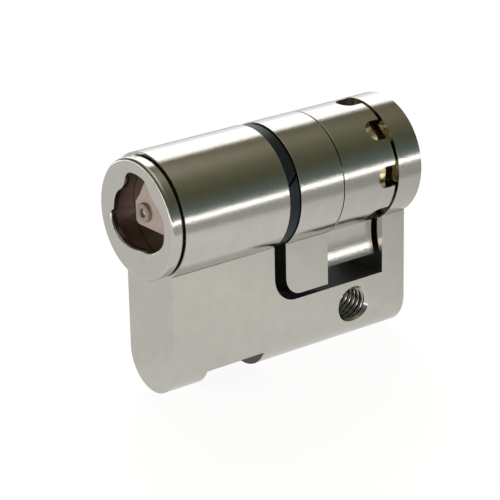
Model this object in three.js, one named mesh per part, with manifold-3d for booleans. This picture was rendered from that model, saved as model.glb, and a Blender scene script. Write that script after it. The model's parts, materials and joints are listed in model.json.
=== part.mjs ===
// Euro-profile half cylinder with an electronic core that a contact key opens.
// Millimetres. +X: to the right as seen from the key side. +Y: from the key face into the door. +Z: up.
// The origin is the middle of the cross hole for the fixing screw, in the mid-plane of the leg.
import * as THREE from 'three';
import { mergeVertices } from 'three/addons/utils/BufferGeometryUtils.js';
import Module from 'manifold-3d';

const wasm = await Module();
wasm.setup();

// ---------------------------------------------------------------- driving dimensions

// Standard profile: a barrel on a leg with a half-round foot
const AXIS_Z = 18.6; // barrel axis above the fixing screw
const BARREL_R = 8.5;
const LEG_HALF = 5;
const PROFILE_HEIGHT = 33;
const FOOT_Z = AXIS_Z + BARREL_R - PROFILE_HEIGHT;
const BODY_FRONT = -30;
const BODY_REAR = 9.05;

// Cam window, milled as a disc about the barrel axis
const WINDOW_FRONT = -13.45;
const WINDOW_REAR = 5.1;
const WINDOW_R = 15.9;
const WINDOW_CORNER_R = 3.5;

// Fixing screw hole and the relief under the foot
const SCREW_R = 2.2;
const SCREW_CHAMFER = 0.3;
const RELIEF_FRONT = -24.5;
const RELIEF_REAR = -15.2;
const RELIEF_TOP = -3.06;
const GUARD_PIN_R = 1;
const GUARD_PIN_TOP = 8;
const GUARD_PIN_Y = [-22.4, -17.3];

// Running and seating clearances
const RUN = 0.05;
const SEAT = 0.02;

// Core: a stepped tube from behind the cap to the end of the cam ring
const CORE_R = 6.5;
const HEAD_R = 7.2;
const NOSE_R = 6.9;
const BAY_R = 5.3;
const CAVITY_R = 6.2;
const HEAD_FRONT = -30.3;
const HEAD_REAR = -25;
const BAY_FRONT = -27.1;
const CORE_REAR = -4.5;

// Cap with the key socket
const CAP_FRONT = -31.85;
const CAP_REAR = -30.35;
const CAP_R = 8.1;
const CAP_FLAT_R = 7.6;
const CAP_RECESS = 0.6;
const SOCKET_R = 6.08;

// Key seat behind the cap, and the contact in it
const SEAT_R = 6.12;
const SEAT_STEP = CAP_FRONT + 1.65;
const SEAT_FLOOR = -27.8;
const CONTACT_X = -0.2;
const CONTACT_Z = 0.55;
const BOSS_R = 1.28;
const BOSS_FRONT = CAP_FRONT + 1.25;
const CONTACT_R = 0.57;
const CONTACT_TRAVEL = 0.8;

// Rings on the core
const CLIP_FRONT = -13.4;
const CLIP_REAR = -11.6;
const CLIP_R = 8.3;
const CLIP_SPLIT = 0.35;
const CLIP_SPLIT_DEG = 20;
const CAM_FRONT = -11.55;
const CAM_REAR = -4.35;
const NOSE_TIP_R = 15.25;
const LUG_TIP_R = 13.1;
const NOSE_CORNER_R = 2.5;
const INDEX_FRONT = -4.27;
const INDEX_REAR = 4.55;
const NOTCH_STEP_DEG = 45;
const NOTCH_R = 1.5;
const NOTCH_Y = 3.1;
const LUG_WAIST_HALF = 3.3;
const LUG_WAIST_Z = -9.4;
const LUG_HOLLOW_R = 10.1;
const DIMPLE_R = 1.35;
const DIMPLE_DEPTH = 0.81;
const DOWEL_R = 0.6;
const DOWEL_ORBIT = 7.5;
const DOWEL_REACH = 2;
const DOWEL_DEG = [67.5, -112.5];

// Side bar, plunger and index pin
const BAR_FRONT = -22;
const BAR_REAR = -15;
const BAR_HALF = 0.72;
const BAR_OUTER = 6.42;
const BAR_INNER = 3.6;
const BAR_TRAVEL = 1.2;
const TAB_FRONT = -19.6;
const TAB_REAR = -18.4;
const TAB_INNER = 0.75;
const PLUNGER_R = 1.4;
const PLUNGER_TIP = -17;
const PLUNGER_END = -9.6;
const PLUNGER_BORE = -13;
const PIN_R = 1.25;
const PIN_Y = 2.95;
const PIN_OUTER = 8.3;
const PIN_INNER = 3.6;
const PIN_TRAVEL = 1.9;
const KEEPER_R = 0.35;
const KEEPER_X = -4.6;
const KEEPER_Z = 1.1;

// Solenoid and tail
const CAN_R = 3;
const CAN_FRONT = -14.4;
const CAN_REAR = -6.9;
const TAIL_FRONT = -6.2;
const JOURNAL_R = 3;
const JOURNAL_END = 8.15;
const BUSH_R = 4.02;
const BUSH_END = 8.3;

// Facets on outside curves and on small round pieces
const FINE = 48;
const COARSE = 24;
const SMALL = 16;

// ---------------------------------------------------------------- materials

const finish = (color, roughness, metalness) =>
  new THREE.MeshStandardMaterial({ color, roughness, metalness });

const satinNickel = finish(0xb9b4ac, 0.38, 1);
const polishedNickel = finish(0xc9c6c0, 0.18, 1);
const nickelSilver = finish(0x9c8878, 0.35, 1);
const hardenedSteel = finish(0x8d8f92, 0.3, 1);
const blackOxide = finish(0x262b2d, 0.45, 0.8);
const brass = finish(0xc8a24e, 0.3, 1);
const springSteel = finish(0xa8abb0, 0.25, 1);
const softIron = finish(0x777a7d, 0.5, 0.9);
const copper = finish(0xb8693a, 0.4, 0.9);
const gold = finish(0xd9b45c, 0.22, 1);
const darkPlastic = finish(0x2b2a2c, 0.6, 0);
const palePlastic = finish(0xd8d2c4, 0.55, 0);
const greenBoard = finish(0x1f5a3a, 0.5, 0.1);
const blackRubber = finish(0x1a1a1b, 0.8, 0);

// ---------------------------------------------------------------- solids

const degrees = THREE.MathUtils.degToRad;

// A closed three.js geometry as a solid that can be joined and cut
function solid(geometry) {
  const bare = geometry.clone();
  bare.deleteAttribute('normal');
  bare.deleteAttribute('uv');
  const merged = mergeVertices(bare, 1e-4);
  const points = merged.attributes.position;
  const corner = [new THREE.Vector3(), new THREE.Vector3(), new THREE.Vector3()];
  const triangles = [];
  let volume = 0;
  for (let i = 0; i < merged.index.count; i += 3) {
    const ids = [0, 1, 2].map((k) => merged.index.getX(i + k));
    if (ids[0] === ids[1] || ids[1] === ids[2] || ids[2] === ids[0]) continue;
    triangles.push(...ids);
    ids.forEach((id, k) => corner[k].fromBufferAttribute(points, id));
    volume += corner[0].dot(corner[1].clone().cross(corner[2]));
  }
  if (volume < 0) triangles.reverse();
  const mesh = new wasm.Mesh({
    numProp: 3,
    vertProperties: Float32Array.from(points.array),
    triVerts: Uint32Array.from(triangles),
  });
  return new wasm.Manifold(mesh);
}

const join = (first, ...others) => others.reduce((sum, one) => sum.add(one), first);
const cut = (first, ...others) => others.reduce((rest, one) => rest.subtract(one), first);

// A body of revolution about the Y axis through (x, z), from [radius, y] points
function turned(profile, segments = COARSE, x = 0, z = 0) {
  const points = profile.map(([r, y]) => new THREE.Vector2(r, y));
  const closed = profile[0][0] > 0 || profile.at(-1)[0] > 0;
  if (closed) points.push(points[0].clone());
  return solid(new THREE.LatheGeometry(points, segments).translate(x, 0, z));
}

const disc = (r, y0, y1, segments = COARSE, x = 0, z = 0) =>
  turned([[0, y0], [r, y0], [r, y1], [0, y1]], segments, x, z);

const tube = (inner, outer, y0, y1, segments = COARSE, x = 0, z = 0) =>
  turned([[inner, y0], [outer, y0], [outer, y1], [inner, y1]], segments, x, z);

// A box from its lowest to its highest corner
function block([x0, y0, z0], [x1, y1, z1]) {
  const box = new THREE.BoxGeometry(x1 - x0, y1 - y0, z1 - z0);
  return solid(box.translate((x0 + x1) / 2, (y0 + y1) / 2, (z0 + z1) / 2));
}

// An X-Z outline swept along Y
function prism(shape, y0, y1, curveSegments = 8) {
  const sweep = new THREE.ExtrudeGeometry(shape, { depth: y1 - y0, bevelEnabled: false, curveSegments });
  return solid(sweep.rotateX(Math.PI / 2).translate(0, y1, 0));
}

// A round rod along X or Z
function rodX(r, x0, x1, y, z = 0, segments = SMALL) {
  const rod = new THREE.CylinderGeometry(r, r, x1 - x0, segments).rotateZ(Math.PI / 2);
  return solid(rod.translate((x0 + x1) / 2, y, z));
}

function rodZ(r, z0, z1, y, x = 0, segments = SMALL) {
  const rod = new THREE.CylinderGeometry(r, r, z1 - z0, segments).rotateX(Math.PI / 2);
  return solid(rod.translate(x, y, (z0 + z1) / 2));
}

// The same solid turned about the barrel axis; 0 degrees points to +X and 90 degrees to +Z
const swung = (shape, deg) => shape.rotate([0, -deg, 0]);

class Helix extends THREE.Curve {
  constructor(radius, length, turns) {
    super();
    Object.assign(this, { radius, length, turns });
  }

  getPoint(t, target = new THREE.Vector3()) {
    const angle = 2 * Math.PI * this.turns * t;
    return target.set(this.radius * Math.cos(angle), this.length * t, this.radius * Math.sin(angle));
  }
}

// A coil spring along +Y from y = 0
function coilSpring(meanR, wireR, length, turns) {
  const sides = 5;
  const ring = Array.from({ length: sides }, (_, i) => {
    const angle = (2 * Math.PI * i) / sides;
    return new THREE.Vector2(wireR * Math.cos(angle), wireR * Math.sin(angle));
  });
  const path = new Helix(meanR, length - 2 * wireR, turns);
  const options = { steps: Math.round(turns * 10), extrudePath: path, bevelEnabled: false };
  return solid(new THREE.ExtrudeGeometry(new THREE.Shape(ring), options).translate(0, wireR, 0));
}

// ---------------------------------------------------------------- scene graph

const lock = new THREE.Group();
const core = new THREE.Group();
core.position.z = AXIS_Z;
lock.add(core);

function piece(parent, name, shape, material) {
  const { vertProperties, triVerts } = shape.getMesh();
  const geometry = new THREE.BufferGeometry();
  geometry.setAttribute('position', new THREE.BufferAttribute(vertProperties, 3));
  geometry.setIndex(new THREE.BufferAttribute(triVerts, 1));
  geometry.computeVertexNormals();
  const mesh = new THREE.Mesh(geometry, material);
  mesh.name = name;
  parent.add(mesh);
}

// ---------------------------------------------------------------- housing

// The standard profile: foot, leg and barrel in one outline
function profileOutline() {
  const footCentre = FOOT_Z + LEG_HALF;
  const joinAngle = Math.acos(LEG_HALF / BARREL_R);
  const shape = new THREE.Shape();
  shape.moveTo(-LEG_HALF, footCentre);
  shape.absarc(0, footCentre, LEG_HALF, Math.PI, 2 * Math.PI);
  shape.absarc(0, AXIS_Z, BARREL_R, -joinAngle, Math.PI + joinAngle);
  return shape;
}

// A disc about the barrel axis whose front rim is rounded
function roundedDisc(r, cornerR, y0, y1) {
  const corner = Array.from({ length: 9 }, (_, i) => {
    const angle = (Math.PI / 16) * i;
    return [r - cornerR + cornerR * Math.sin(angle), y0 + cornerR - cornerR * Math.cos(angle)];
  });
  return turned([[0, y0], ...corner, [r, y1], [0, y1]], FINE);
}

// The stepped bore: head, body and rear bush
function boreCutter() {
  const head = disc(HEAD_R + RUN, BODY_FRONT - 1, HEAD_REAR + 2 * RUN, FINE);
  const body = disc(CORE_R + RUN, HEAD_REAR, WINDOW_FRONT + 1, FINE);
  const bush = disc(BUSH_R + SEAT, WINDOW_REAR - 1, BUSH_END + 2 * RUN, COARSE);
  return join(head, body, bush).translate(0, 0, AXIS_Z);
}

// Sloped grooves in the bore, where the side bar locks at each quarter turn
function grooveCutter() {
  const depth = BAR_OUTER + BAR_TRAVEL + 0.08;
  const half = BAR_HALF + 0.13;
  const shape = new THREE.Shape();
  shape.moveTo(CORE_R - 1, half + 1);
  shape.lineTo(CORE_R - 1, -half - 1);
  shape.lineTo(depth, -half);
  shape.lineTo(depth, half);
  const groove = prism(shape, BAR_FRONT - 0.35, BAR_REAR + 0.35);
  const grooves = [0, 90, 180, 270].map((deg) => swung(groove, deg));
  return join(...grooves).translate(0, 0, AXIS_Z);
}

function screwHoleCutter() {
  const chamferR = SCREW_R + SCREW_CHAMFER;
  const through = rodX(SCREW_R, -LEG_HALF - 1, LEG_HALF + 1, 0, 0, COARSE);
  const cone = new THREE.CylinderGeometry(SCREW_R, chamferR + 0.5, SCREW_CHAMFER + 0.5, COARSE);
  const mouth = solid(cone.rotateZ(Math.PI / 2).translate(LEG_HALF - SCREW_CHAMFER / 2 + 0.25, 0, 0));
  return join(through, mouth, mouth.mirror([1, 0, 0]));
}

function housing() {
  const body = prism(profileOutline(), BODY_FRONT, BODY_REAR, 20);
  const window = roundedDisc(WINDOW_R, WINDOW_CORNER_R, WINDOW_FRONT, WINDOW_REAR).translate(0, 0, AXIS_Z);
  const relief = block([-LEG_HALF - 1, RELIEF_FRONT, FOOT_Z - 1], [LEG_HALF + 1, RELIEF_REAR, RELIEF_TOP]);
  const guardHoles = GUARD_PIN_Y.map((y) => rodZ(GUARD_PIN_R + SEAT, RELIEF_TOP - 1, GUARD_PIN_TOP + SEAT, y));
  return cut(body, window, boreCutter(), grooveCutter(), screwHoleCutter(), relief, ...guardHoles);
}

piece(lock, 'housing', housing(), satinNickel);
GUARD_PIN_Y.forEach((y, i) => {
  const pin = rodZ(GUARD_PIN_R, RELIEF_TOP + SEAT, GUARD_PIN_TOP, y);
  piece(lock, `guard_pin_${i + 1}`, pin, hardenedSteel);
});
piece(core, 'rear_bush', tube(JOURNAL_R + 0.04, BUSH_R, WINDOW_REAR + RUN, BUSH_END), brass);
piece(core, 'thrust_washer', tube(JOURNAL_R + 0.1, 5, 4.62, 5.02), springSteel);

// ---------------------------------------------------------------- cap and key socket

const onSocket = (deg) => [SOCKET_R * Math.cos(degrees(deg)), SOCKET_R * Math.sin(degrees(deg))];

// The key socket: a round opening with a wide lobe on top, one at each side, and a flat bottom
function socketOutline() {
  const shape = new THREE.Shape();
  shape.absarc(0, 0, SOCKET_R, degrees(99.5), degrees(68), true);
  shape.quadraticCurveTo(3.3, 3.85, 4.6, 2.9);
  shape.quadraticCurveTo(5.6, 2.15, ...onSocket(12));
  shape.absarc(0, 0, SOCKET_R, degrees(12), degrees(-13), true);
  shape.quadraticCurveTo(5.4, -2.6, 3.75, -3.4);
  shape.quadraticCurveTo(2.5, -4.05, 1.3, -3.85);
  shape.quadraticCurveTo(-2.6, -4.6, -4.4, -3.1);
  shape.quadraticCurveTo(-5.6, -2.1, -5.75, -0.5);
  shape.lineTo(-5.1, 0);
  shape.quadraticCurveTo(-5, 2, -3.75, 2.9);
  shape.quadraticCurveTo(-2.6, 3.5, -2.35, 4.7);
  shape.quadraticCurveTo(-2, 5.7, ...onSocket(99.5));
  return shape;
}

function faceCap() {
  const recess = CAP_REAR - CAP_RECESS;
  const blank = turned(
    [
      [0, CAP_FRONT],
      [CAP_FLAT_R, CAP_FRONT],
      [CAP_R - 0.05, CAP_FRONT + 0.3],
      [CAP_R, CAP_FRONT + 0.45],
      [CAP_R, CAP_REAR],
      [NOSE_R + RUN, CAP_REAR],
      [NOSE_R + RUN, recess],
      [0, recess],
    ],
    FINE,
  );
  return cut(blank, prism(socketOutline(), CAP_FRONT - 1, CAP_REAR + 1, 6));
}

// The raised part of the key seat, which carries the contact
function plateauOutline() {
  const shape = new THREE.Shape();
  shape.moveTo(7, -1.35);
  shape.lineTo(-1.3, -1.4);
  shape.quadraticCurveTo(-2.2, -1.4, -2.2, -0.6);
  shape.lineTo(-2.2, 1.6);
  shape.lineTo(-1.3, 2.6);
  shape.lineTo(0.5, 5.6);
  shape.lineTo(0.7, 7);
  shape.lineTo(7, 7);
  return shape;
}

function keySeat() {
  const base = disc(SEAT_R, SEAT_FLOOR, BAY_FRONT - SEAT, FINE);
  const plateau = disc(SEAT_R, SEAT_STEP, SEAT_FLOOR + 0.1, FINE)
    .intersect(prism(plateauOutline(), SEAT_STEP - 1, BAY_FRONT));
  const hole = disc(BOSS_R + SEAT, SEAT_STEP - 1, BAY_FRONT + 1, COARSE, CONTACT_X, CONTACT_Z);
  return cut(join(base, plateau), hole);
}

piece(core, 'face_cap', faceCap(), polishedNickel);
piece(core, 'key_seat', keySeat(), nickelSilver);

// ---------------------------------------------------------------- contact

const COLLAR_FRONT = -27.35;
const COLLAR_REAR = -26.9;
const INSULATOR_REAR = -24.95;

function contactInsulator() {
  const profile = [
    [CONTACT_R + RUN, BOSS_FRONT],
    [BOSS_R, BOSS_FRONT],
    [BOSS_R, INSULATOR_REAR],
    [1, INSULATOR_REAR],
    [1, COLLAR_FRONT - RUN],
    [CONTACT_R + RUN, COLLAR_FRONT - RUN],
  ];
  return turned(profile, COARSE, CONTACT_X, CONTACT_Z);
}

function contactPin() {
  const shaft = disc(CONTACT_R, BOSS_FRONT + 0.25, COLLAR_REAR, SMALL, CONTACT_X, CONTACT_Z);
  const collar = disc(0.9, COLLAR_FRONT, COLLAR_REAR, SMALL, CONTACT_X, CONTACT_Z);
  return join(shaft, collar);
}

// A disc under the spring, with a tongue that reaches the edge of the circuit board
function contactTerminal() {
  const face = INSULATOR_REAR + 0.03;
  const plate = disc(1.25, face, face + 0.3, SMALL, CONTACT_X, CONTACT_Z);
  const tongue = block([-0.6, face, CONTACT_Z], [0.2, face + 0.3, 3.7]);
  const foot = block([-0.6, face, 3.45], [0.2, BOARD_FRONT - SEAT, 3.7]);
  return join(plate, tongue, foot);
}

// ---------------------------------------------------------------- core shell

const ORING_FRONT = -28.75;
const ORING_REAR = -28.05;
const ORING_FLOOR = 6.62;
const CLIP_FLOOR = 6;
const KEY_HALF = 1;
const KEY_FRONT = -10.5;
const KEY_REAR = -6.5;
const KEY_FLOOR = 5.85;
const KEY_TOP = 7.3;
const TAIL_PIN_R = 0.6;
const TAIL_PIN_Y = -5.35;

function coreShell() {
  const profile = [
    [CAVITY_R, HEAD_FRONT - 0.63],
    [NOSE_R, HEAD_FRONT - 0.63],
    [NOSE_R, HEAD_FRONT],
    [HEAD_R, HEAD_FRONT],
    [HEAD_R, ORING_FRONT],
    [ORING_FLOOR, ORING_FRONT],
    [ORING_FLOOR, ORING_REAR],
    [HEAD_R, ORING_REAR],
    [HEAD_R, HEAD_REAR],
    [CORE_R, HEAD_REAR],
    [CORE_R, CLIP_FRONT - RUN],
    [CLIP_FLOOR, CLIP_FRONT - RUN],
    [CLIP_FLOOR, CLIP_REAR + RUN],
    [CORE_R, CLIP_REAR + RUN],
    [CORE_R, CORE_REAR],
    [BAY_R, CORE_REAR],
    [BAY_R, BAY_FRONT],
    [CAVITY_R, BAY_FRONT],
  ];
  const barSlot = block([-CORE_R - 1, BAR_FRONT - RUN, -BAR_HALF - 0.08], [-4, BAR_REAR + RUN, BAR_HALF + 0.08]);
  const keyway = block([-KEY_HALF - SEAT, KEY_FRONT - SEAT, KEY_FLOOR], [KEY_HALF + SEAT, KEY_REAR + SEAT, CORE_R + 1]);
  const pinHoles = rodX(TAIL_PIN_R + SEAT, -CORE_R - 1, CORE_R + 1, TAIL_PIN_Y);
  return cut(turned(profile, FINE), barSlot, keyway, pinHoles);
}

function oRing() {
  const sectionR = 0.27;
  const centreR = (ORING_FLOOR + HEAD_R) / 2;
  const sides = 8;
  const section = Array.from({ length: sides }, (_, i) => {
    const angle = (2 * Math.PI * i) / sides;
    return [centreR + sectionR * Math.cos(angle), (ORING_FRONT + ORING_REAR) / 2 + sectionR * Math.sin(angle)];
  });
  return turned(section, FINE);
}

piece(core, 'core_shell', coreShell(), brass);
piece(core, 'o_ring', oRing(), blackRubber);

// ---------------------------------------------------------------- drill guard

const GUARD_FRONT = BAY_FRONT + RUN;
const GUARD_REAR = -25.2;
const BALL_R = 0.85;
const BALL_ORBIT = 3.6;
const BALL_DEG = [45, 135, 225, 315];
const ballCentre = (deg) => [BALL_ORBIT * Math.cos(degrees(deg)), BALL_ORBIT * Math.sin(degrees(deg))];

function guardDisc() {
  const pockets = BALL_DEG.map((deg) => disc(BALL_R + RUN, GUARD_FRONT - 1, GUARD_REAR + 1, SMALL, ...ballCentre(deg)));
  const hole = disc(BOSS_R + SEAT, GUARD_FRONT - 1, GUARD_REAR + 1, COARSE, CONTACT_X, CONTACT_Z);
  return cut(disc(BAY_R - RUN, GUARD_FRONT, GUARD_REAR, COARSE), hole, ...pockets);
}

piece(core, 'guard_disc', guardDisc(), hardenedSteel);
BALL_DEG.forEach((deg, i) => {
  const [x, z] = ballCentre(deg);
  const ball = new THREE.SphereGeometry(BALL_R, 12, 8).translate(x, (GUARD_FRONT + GUARD_REAR) / 2, z);
  piece(core, `guard_ball_${i + 1}`, solid(ball), hardenedSteel);
});

// ---------------------------------------------------------------- electronics

const BOARD_FRONT = -23.6;
const BOARD_REAR = -6.8;
const BOARD_BOTTOM = 3.3;
const BOARD_TOP = 3.8;
const CHIP_BASE = BOARD_TOP + SEAT;
const SPRING_SEAT_X = -1.95;
const SPRING_SEAT_Y = [[-22, -20.2], [-17, -15.2]];

// Plastic carrier: floor, front wall, spring seats and a cradle under the solenoid
function chassis() {
  const floor = block([-2.6, -24.4, -4.4], [2.6, -6.6, -3.5]);
  const wall = block([-3.4, -24.4, -3.9], [3.4, -23.9, 3.2]);
  const seats = SPRING_SEAT_Y.map(([y0, y1]) => block([SPRING_SEAT_X, y0, -3.6], [SPRING_SEAT_X + 0.4, y1, 1.2]));
  const cradle = block([-1.5, CAN_FRONT + 1, -3.6], [1.5, CAN_REAR - 1, -CAN_R - RUN]);
  return join(floor, wall, cradle, ...seats);
}

const onBoard = (half, y0, y1, height) => block([-half, y0, CHIP_BASE], [half, y1, CHIP_BASE + height]);

piece(core, 'contact_insulator', contactInsulator(), palePlastic);
piece(core, 'contact_pin', contactPin(), gold);
piece(core, 'contact_terminal', contactTerminal(), brass);
piece(core, 'chassis', chassis(), darkPlastic);
piece(core, 'circuit_board', block([-3.5, BOARD_FRONT, BOARD_BOTTOM], [3.5, BOARD_REAR, BOARD_TOP]), greenBoard);
piece(core, 'control_chip', onBoard(1.9, -21, -17, 0.85), darkPlastic);
piece(core, 'memory_chip', onBoard(1.2, -15.2, -12.4, 0.7), darkPlastic);
piece(core, 'capacitor', onBoard(0.9, -11, -8.6, 0.9), palePlastic);

// ---------------------------------------------------------------- solenoid

const WASHER = 0.5;
const POLE_FACE = -9.4;
const FLANGE = 0.4;

function solenoidCan() {
  const profile = [
    [PLUNGER_R + 0.1, CAN_FRONT],
    [CAN_R, CAN_FRONT],
    [CAN_R, CAN_REAR],
    [CAN_R - FLANGE, CAN_REAR],
    [CAN_R - FLANGE, CAN_FRONT + WASHER],
    [PLUNGER_R + 0.1, CAN_FRONT + WASHER],
  ];
  return turned(profile);
}

const BOBBIN_FRONT = CAN_FRONT + WASHER + RUN;
const BOBBIN_REAR = -7.95;
const BOBBIN_R = CAN_R - FLANGE - RUN;
const WINDING_R = 1.8;

function bobbin() {
  const profile = [
    [PLUNGER_R + 0.1, BOBBIN_FRONT],
    [BOBBIN_R, BOBBIN_FRONT],
    [BOBBIN_R, BOBBIN_FRONT + FLANGE],
    [WINDING_R, BOBBIN_FRONT + FLANGE],
    [WINDING_R, BOBBIN_REAR - FLANGE],
    [BOBBIN_R, BOBBIN_REAR - FLANGE],
    [BOBBIN_R, BOBBIN_REAR],
    [PLUNGER_R + 0.1, BOBBIN_REAR],
  ];
  return turned(profile);
}

const coil = () =>
  tube(WINDING_R + SEAT, BOBBIN_R - RUN, BOBBIN_FRONT + FLANGE + SEAT, BOBBIN_REAR - FLANGE - SEAT);

function poleRound() {
  const base = disc(BOBBIN_R, BOBBIN_REAR + RUN, CAN_REAR - RUN);
  return join(base, disc(PLUNGER_R, POLE_FACE, BOBBIN_REAR + 0.5));
}

function plunger() {
  const bore = disc(0.8, PLUNGER_BORE, PLUNGER_END + 1, SMALL);
  return cut(disc(PLUNGER_R, PLUNGER_TIP, PLUNGER_END), bore);
}

piece(core, 'solenoid_can', solenoidCan(), softIron);
piece(core, 'bobbin', bobbin(), palePlastic);
piece(core, 'coil', coil(), copper);
piece(core, 'pole_piece', poleRound(), softIron);
piece(core, 'plunger', plunger(), softIron);

// ---------------------------------------------------------------- side bar

function sideBar() {
  const edge = 0.4;
  const shape = new THREE.Shape();
  shape.moveTo(-BAR_INNER, BAR_HALF);
  shape.lineTo(-BAR_OUTER + edge, BAR_HALF);
  shape.lineTo(-BAR_OUTER, BAR_HALF - edge);
  shape.lineTo(-BAR_OUTER, -BAR_HALF + edge);
  shape.lineTo(-BAR_OUTER + edge, -BAR_HALF);
  shape.lineTo(-BAR_INNER, -BAR_HALF);
  const blade = prism(shape, BAR_FRONT, BAR_REAR);
  const tab = block([-BAR_INNER - 0.5, TAB_FRONT, -0.6], [-TAB_INNER, TAB_REAR, 0.6]);
  return join(blade, tab);
}

piece(core, 'side_bar', sideBar(), hardenedSteel);

// ---------------------------------------------------------------- springs

// Each spring stands on a fixed seat and reaches along +X, -X or -Y
const contactSpring = coilSpring(0.7, 0.12, 1.9, 4).translate(CONTACT_X, COLLAR_REAR + 0.03, CONTACT_Z);
const plungerSpring = coilSpring(0.55, 0.1, 3.5, 6).translate(0, PLUNGER_BORE + RUN, 0);
const barSpring = coilSpring(0.5, 0.1, 1.57, 4).rotate([0, 0, 90]).translate(SPRING_SEAT_X - 0.05, 0, 0);
const pinSpring = coilSpring(0.85, 0.11, 2.85, 4).rotate([0, 0, 90]).translate(-0.7, PIN_Y, 0);

piece(core, 'contact_spring', contactSpring, springSteel);
piece(core, 'plunger_spring', plungerSpring, springSteel);
SPRING_SEAT_Y.forEach(([y0, y1], i) => {
  piece(core, `side_bar_spring_${i + 1}`, barSpring.translate(0, (y0 + y1) / 2, 0), springSteel);
});
piece(core, 'index_spring', pinSpring, springSteel);

// ---------------------------------------------------------------- rings on the core

function retainingClip() {
  const ring = tube(CLIP_FLOOR + RUN, CLIP_R, CLIP_FRONT, CLIP_REAR, FINE);
  const split = block([0, CLIP_FRONT - 1, -CLIP_SPLIT / 2], [CLIP_R + 1, CLIP_REAR + 1, CLIP_SPLIT / 2]);
  return cut(ring, swung(split, CLIP_SPLIT_DEG));
}

const dowelAt = (deg, r, y0, y1) => {
  const angle = degrees(deg);
  return disc(r, y0, y1, SMALL, DOWEL_ORBIT * Math.cos(angle), DOWEL_ORBIT * Math.sin(angle));
};
const dowelHoles = () =>
  DOWEL_DEG.map((deg) => dowelAt(deg, DOWEL_R + SEAT, CAM_REAR - DOWEL_REACH - RUN, INDEX_FRONT + DOWEL_REACH + RUN));

function camRing() {
  const ring = disc(BARREL_R, CAM_FRONT, CAM_REAR, FINE);
  const sector = block([-LEG_HALF, CAM_FRONT - 1, -NOSE_TIP_R - 1], [LEG_HALF, CAM_REAR + 1, 0]);
  const nose = roundedDisc(NOSE_TIP_R, NOSE_CORNER_R, CAM_FRONT, CAM_REAR - 0.1).intersect(sector);
  const bore = disc(CORE_R + RUN, CAM_FRONT - 1, CAM_REAR + 1, FINE);
  const keyway = block([-KEY_HALF - SEAT, CAM_FRONT - 1, 0], [KEY_HALF + SEAT, CAM_REAR + 1, KEY_TOP + RUN]);
  return cut(join(ring, nose), bore, keyway, ...dowelHoles());
}

// One notch at the top of the index ring: round in front, straight to the rear edge
function notchCutter() {
  const round = rodZ(NOTCH_R, CORE_R - 1, BARREL_R + 1, NOTCH_Y);
  const straight = block([-NOTCH_R, NOTCH_Y, CORE_R - 1], [NOTCH_R, INDEX_REAR + 1, BARREL_R + 1]);
  return join(round, straight);
}

// Notches stand at every step round the ring, turned from the top one, but not where the lug is
const PIN_TURN_DEG = 90;
const LUG_TURN_DEG = 180;
const notchTurns = Array.from({ length: 360 / NOTCH_STEP_DEG }, (_, i) => NOTCH_STEP_DEG * i)
  .filter((deg) => deg !== LUG_TURN_DEG);

// The lug under the index ring, in line with the nose, with hollow flanks
function indexLug() {
  const sector = block([-LEG_HALF, INDEX_FRONT - 1, -NOSE_TIP_R - 1], [LEG_HALF, INDEX_REAR + 1, -CORE_R]);
  const blank = disc(LUG_TIP_R, INDEX_FRONT, INDEX_REAR, FINE).intersect(sector);
  const hollowX = LUG_WAIST_HALF + LUG_HOLLOW_R;
  const hollow = disc(LUG_HOLLOW_R, INDEX_FRONT - 1, INDEX_REAR + 1, 2 * FINE, hollowX, LUG_WAIST_Z);
  return cut(blank, hollow, hollow.mirror([1, 0, 0]));
}

function indexRing() {
  const ring = join(disc(BARREL_R, INDEX_FRONT, INDEX_REAR, FINE), indexLug());
  const bore = disc(CORE_R + RUN, INDEX_FRONT - 1, INDEX_REAR + 1, FINE);
  const notches = notchTurns.map((deg) => swung(notchCutter(), deg));
  return cut(ring, bore, ...notches, ...dowelHoles());
}

piece(core, 'retaining_clip', retainingClip(), blackOxide);
piece(core, 'cam_ring', camRing(), satinNickel);
piece(core, 'index_ring', indexRing(), satinNickel);
DOWEL_DEG.forEach((deg, i) => {
  const dowel = dowelAt(deg, DOWEL_R, CAM_REAR - DOWEL_REACH, INDEX_FRONT + DOWEL_REACH);
  piece(core, `ring_dowel_${i + 1}`, dowel, hardenedSteel);
});
piece(
  core,
  'drive_key',
  block([-KEY_HALF, KEY_FRONT, KEY_FLOOR + SEAT], [KEY_HALF, KEY_REAR, KEY_TOP]),
  hardenedSteel,
);

// ---------------------------------------------------------------- tail and index pin

const PIN_BORE_R = PIN_R + RUN;
const PIN_BORE_END = -0.6;

// A drill point at the bottom of each notch, except where the index pin has its bore
function dimpleCutter() {
  const rise = 0.5;
  const topR = DIMPLE_R * (1 + rise / DIMPLE_DEPTH);
  const cone = new THREE.CylinderGeometry(topR, 0, DIMPLE_DEPTH + rise, SMALL).rotateX(Math.PI / 2);
  return solid(cone.translate(0, NOTCH_Y, CORE_R + (rise - DIMPLE_DEPTH) / 2));
}

const keeper = (r, y0, y1) => disc(r, y0, y1, SMALL, KEEPER_X, KEEPER_Z);

function coreTail() {
  const profile = [
    [0, TAIL_FRONT],
    [BAY_R - RUN, TAIL_FRONT],
    [BAY_R - RUN, CORE_REAR + RUN],
    [CORE_R, CORE_REAR + RUN],
    [CORE_R, INDEX_REAR - RUN],
    [JOURNAL_R, INDEX_REAR - RUN],
    [JOURNAL_R, JOURNAL_END],
    [0, JOURNAL_END],
  ];
  const pinBore = rodX(PIN_BORE_R, -CORE_R - 1, PIN_BORE_END, PIN_Y);
  const crossHole = rodX(TAIL_PIN_R + SEAT, -CORE_R, CORE_R, TAIL_PIN_Y);
  const keeperHole = keeper(KEEPER_R + SEAT, 1.9, INDEX_REAR + 1);
  const dimples = notchTurns.filter((deg) => deg !== PIN_TURN_DEG).map((deg) => swung(dimpleCutter(), deg));
  return cut(turned(profile, FINE), pinBore, crossHole, keeperHole, ...dimples);
}

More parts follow.
